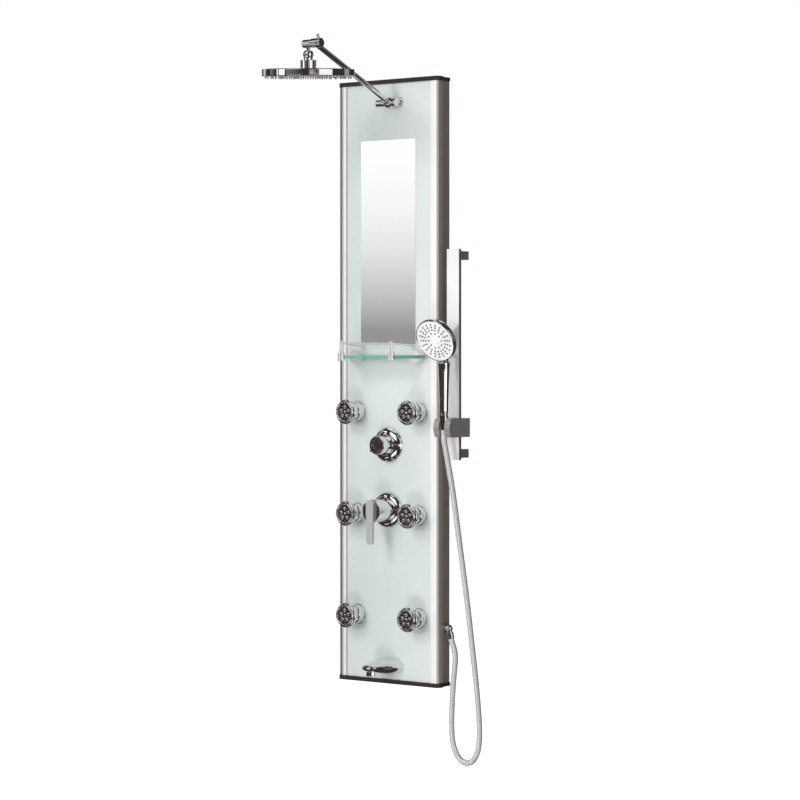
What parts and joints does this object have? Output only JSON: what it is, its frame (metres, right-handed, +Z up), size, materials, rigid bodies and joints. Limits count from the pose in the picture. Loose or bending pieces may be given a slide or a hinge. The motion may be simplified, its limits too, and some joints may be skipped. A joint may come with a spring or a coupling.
{
  "type": "shower_system",
  "caption": "Wall-hung shower panel with rain head arm, body jets, diverter, mixer, tub spout, glass shelf and hand shower on a slide bar",
  "frame": {"origin": "Middle of the four wall screw holes on the wall plane, halfway up the panel", "axes": "+X right seen from the front, +Y into the wall, +Z up"},
  "size_m": [0.4364, 0.4347, 1.6459],
  "materials": {
    "tray_grey": "satin",
    "aluminium_trim": "brushed",
    "frosted_glass": "frosted",
    "mirror_silver": "polished",
    "dark_plastic": "matte",
    "zinc_steel": "satin",
    "green_glass": "polished",
    "chrome": "polished",
    "satin_chrome": "satin",
    "acetal": "matte",
    "nozzle_rubber": "matte",
    "washer_rubber": "matte",
    "brass": "satin",
    "face_white": "satin",
    "face_rubber": "matte",
    "copper": "satin",
    "hose_steel": "polished",
    "bar_side": "satin"
  },
  "bodies": {
    "panel": {"rear_tray": "tray_grey", "left_profile": "aluminium_trim", "right_profile": "aluminium_trim", "glass_panel": "frosted_glass", "mirror": "mirror_silver", "top_cap": "dark_plastic", "bottom_cap": "dark_plastic", "wall_brackets": "zinc_steel", "shelf_glass": "green_glass", "shelf_clamps": "chrome", "shelf_posts": "chrome", "shelf_rail": "chrome", "arm_flange": "chrome", "arm_spindle": "chrome", "jet_bases": "chrome", "panel_washers": "washer_rubber", "back_nuts": "brass", "diverter_plate": "chrome", "diverter_valve": "brass", "mixer_plate": "chrome", "mixer_valve": "brass", "tub_spout": "chrome", "spout_aerator": "chrome", "slide_bar": "satin_chrome", "bar_posts": "bar_side", "hand_hose": "hose_steel", "hose_elbow": "chrome", "supply_pipes": "copper"},
    "arm": {"shower_arm": "chrome"},
    "arm_knob_body": {"arm_knob": "chrome"},
    "elbow": {"elbow_barrel": "chrome", "ball_stud": "chrome"},
    "tommy": {"elbow_lever": "chrome"},
    "seat_low": {"ball_seat_lower": "acetal"},
    "seat_up": {"ball_seat_upper": "acetal"},
    "rain_head": {"swivel_housing": "chrome", "collar_nut": "chrome", "rain_shell": "chrome", "rain_face": "satin_chrome", "rain_nozzles": "nozzle_rubber"},
    "diverter": {"diverter_knob": "chrome"},
    "mixer": {"mixer_sleeve": "chrome"},
    "lever": {"mixer_lever": "satin_chrome"},
    "slider": {"slider_block": "satin_chrome", "hose_cone": "chrome"},
    "handset": {"handset_shell": "chrome"},
    "hand_spray": {"handset_face": "face_white", "handset_nozzles": "face_rubber"},
    "collar_1": {"jet_1_collar": "chrome"},
    "head_1": {"jet_1_head": "chrome"},
    "collar_2": {"jet_2_collar": "chrome"},
    "head_2": {"jet_2_head": "chrome"},
    "collar_3": {"jet_3_collar": "chrome"},
    "head_3": {"jet_3_head": "chrome"},
    "collar_4": {"jet_4_collar": "chrome"},
    "head_4": {"jet_4_head": "chrome"},
    "collar_5": {"jet_5_collar": "chrome"},
    "head_5": {"jet_5_head": "chrome"},
    "collar_6": {"jet_6_collar": "chrome"},
    "head_6": {"jet_6_head": "chrome"}
  },
  "joints": [
    {"name": "arm_lift", "type": "hinge", "parent": "panel", "child": "arm", "pos_m": [0.0195, -0.064, 0.643], "axis": [1, 0, 0], "range_deg": [-30, 25]},
    {"name": "arm_knob_turn", "type": "hinge", "parent": "panel", "child": "arm_knob_body", "pos_m": [-0.0025, -0.064, 0.643], "axis": [1, 0, 0], "range_deg": [-90, 90]},
    {"name": "elbow_tilt", "type": "hinge", "parent": "arm", "child": "elbow", "pos_m": [0.0195, -0.333, 0.757], "axis": [1, 0, 0], "range_deg": [-60, 0]},
    {"name": "tommy_turn", "type": "hinge", "parent": "elbow", "child": "tommy", "pos_m": [0.0334, -0.333, 0.757], "axis": [1, 0, 0], "range_deg": [-60, 60]},
    {"name": "ball_pitch", "type": "hinge", "parent": "elbow", "child": "seat_low", "pos_m": [0, -0.333, 0.7325], "axis": [1, 0, 0], "range_deg": [-8, 0]},
    {"name": "ball_roll", "type": "hinge", "parent": "seat_low", "child": "seat_up", "pos_m": [0, -0.333, 0.7325], "axis": [0, 1, 0], "range_deg": [-4, 8]},
    {"name": "head_spin", "type": "hinge", "parent": "seat_up", "child": "rain_head", "pos_m": [0, -0.333, 0.7325], "axis": [0.0483, -0.0618, 0.9969], "continuous": true},
    {"name": "jet_1_turn", "type": "hinge", "parent": "panel", "child": "collar_1", "pos_m": [-0.09, -0.062, -0.071], "axis": [0, 1, 0], "continuous": true},
    {"name": "jet_1_tilt", "type": "hinge", "parent": "collar_1", "child": "head_1", "pos_m": [-0.09, -0.062, -0.071], "axis": [1, 0, 0], "range_deg": [-12, 12]},
    {"name": "jet_2_turn", "type": "hinge", "parent": "panel", "child": "collar_2", "pos_m": [-0.09, -0.062, -0.3075], "axis": [0, 1, 0], "continuous": true},
    {"name": "jet_2_tilt", "type": "hinge", "parent": "collar_2", "child": "head_2", "pos_m": [-0.09, -0.062, -0.3075], "axis": [1, 0, 0], "range_deg": [-12, 12]},
    {"name": "jet_3_turn", "type": "hinge", "parent": "panel", "child": "collar_3", "pos_m": [-0.09, -0.062, -0.544], "axis": [0, 1, 0], "continuous": true},
    {"name": "jet_3_tilt", "type": "hinge", "parent": "collar_3", "child": "head_3", "pos_m": [-0.09, -0.062, -0.544], "axis": [1, 0, 0], "range_deg": [-12, 12]},
    {"name": "jet_4_turn", "type": "hinge", "parent": "panel", "child": "collar_4", "pos_m": [0.09, -0.062, -0.071], "axis": [0, 1, 0], "continuous": true},
    {"name": "jet_4_tilt", "type": "hinge", "parent": "collar_4", "child": "head_4", "pos_m": [0.09, -0.062, -0.071], "axis": [1, 0, 0], "range_deg": [-12, 12]},
    {"name": "jet_5_turn", "type": "hinge", "parent": "panel", "child": "collar_5", "pos_m": [0.09, -0.062, -0.3075], "axis": [0, 1, 0], "continuous": true},
    {"name": "jet_5_tilt", "type": "hinge", "parent": "collar_5", "child": "head_5", "pos_m": [0.09, -0.062, -0.3075], "axis": [1, 0, 0], "range_deg": [-12, 12]},
    {"name": "jet_6_turn", "type": "hinge", "parent": "panel", "child": "collar_6", "pos_m": [0.09, -0.062, -0.544], "axis": [0, 1, 0], "continuous": true},
    {"name": "jet_6_tilt", "type": "hinge", "parent": "collar_6", "child": "head_6", "pos_m": [0.09, -0.062, -0.544], "axis": [1, 0, 0], "range_deg": [-12, 12]},
    {"name": "diverter_turn", "type": "hinge", "parent": "panel", "child": "diverter", "pos_m": [0, -0.065, -0.147], "axis": [0, 1, 0], "range_deg": [-120, 120]},
    {"name": "mixer_turn", "type": "hinge", "parent": "panel", "child": "mixer", "pos_m": [0, -0.075, -0.298], "axis": [0, 1, 0], "range_deg": [-50, 50]},
    {"name": "lever_lift", "type": "hinge", "parent": "mixer", "child": "lever", "pos_m": [0, -0.103, -0.28], "axis": [-1, 0, 0], "range_deg": [0, 18]},
    {"name": "slider_slide", "type": "slide", "parent": "panel", "child": "slider", "axis": [0, 0, 1], "range_m": [-0.025, 0.355], "deforming": ["hand_hose"]},
    {"name": "handset_turn", "type": "hinge", "parent": "slider", "child": "handset", "pos_m": [0.183, -0.072, -0.02], "axis": [0, 0, 1], "range_deg": [-45, 55]},
    {"name": "spray_turn", "type": "hinge", "parent": "handset", "child": "hand_spray", "pos_m": [0.183, -0.105, 0.0935], "axis": [0, -0.8988, -0.4384], "range_deg": [-60, 60]}
  ]
}
